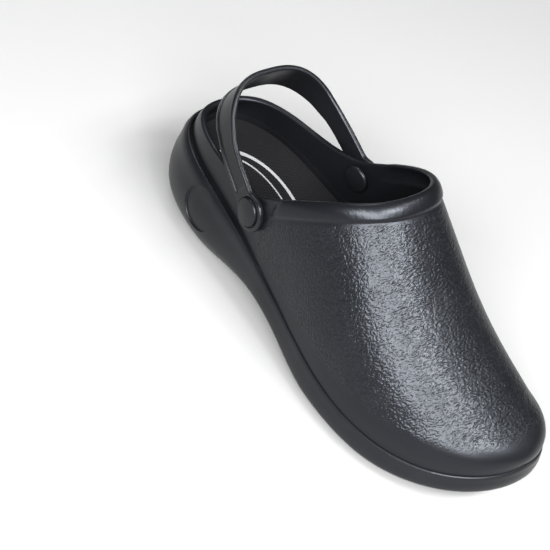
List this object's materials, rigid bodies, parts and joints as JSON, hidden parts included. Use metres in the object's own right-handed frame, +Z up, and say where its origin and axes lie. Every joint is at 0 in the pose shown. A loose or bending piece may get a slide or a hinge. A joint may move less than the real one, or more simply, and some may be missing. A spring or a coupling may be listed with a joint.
{
  "type": "chef clog",
  "caption": "Closed-toe moulded foam kitchen clog for the right foot, with a low heel cup, a raised heel strap on rivets, a textile insole and ribbed tread pads.",
  "frame": {"origin": "centre of the shoe's footprint box, on the floor that it stands on", "axes": "+X from heel to toe, +Y to the wearer's left, which is the inner side of this right shoe, +Z up"},
  "size_m": [0.2862, 0.1028, 0.1132],
  "materials": {
    "foam": "moulded black foam, satin, with a leather-like grain on the vamp",
    "textile": "charcoal woven textile with a pale printed ring",
    "tread": "matt slate-grey rubber",
    "plastic": "satin black plastic"
  },
  "bodies": {
    "root": {"upper": "foam", "sole": "foam", "insole": "textile", "tread_forefoot": "tread", "tread_heel": "tread", "heel_strap": "foam", "rivet_inner_side": "plastic", "rivet_outer_side": "plastic", "rivet_cap_inner_side": "plastic", "rivet_cap_outer_side": "plastic"}
  },
  "joints": []
}
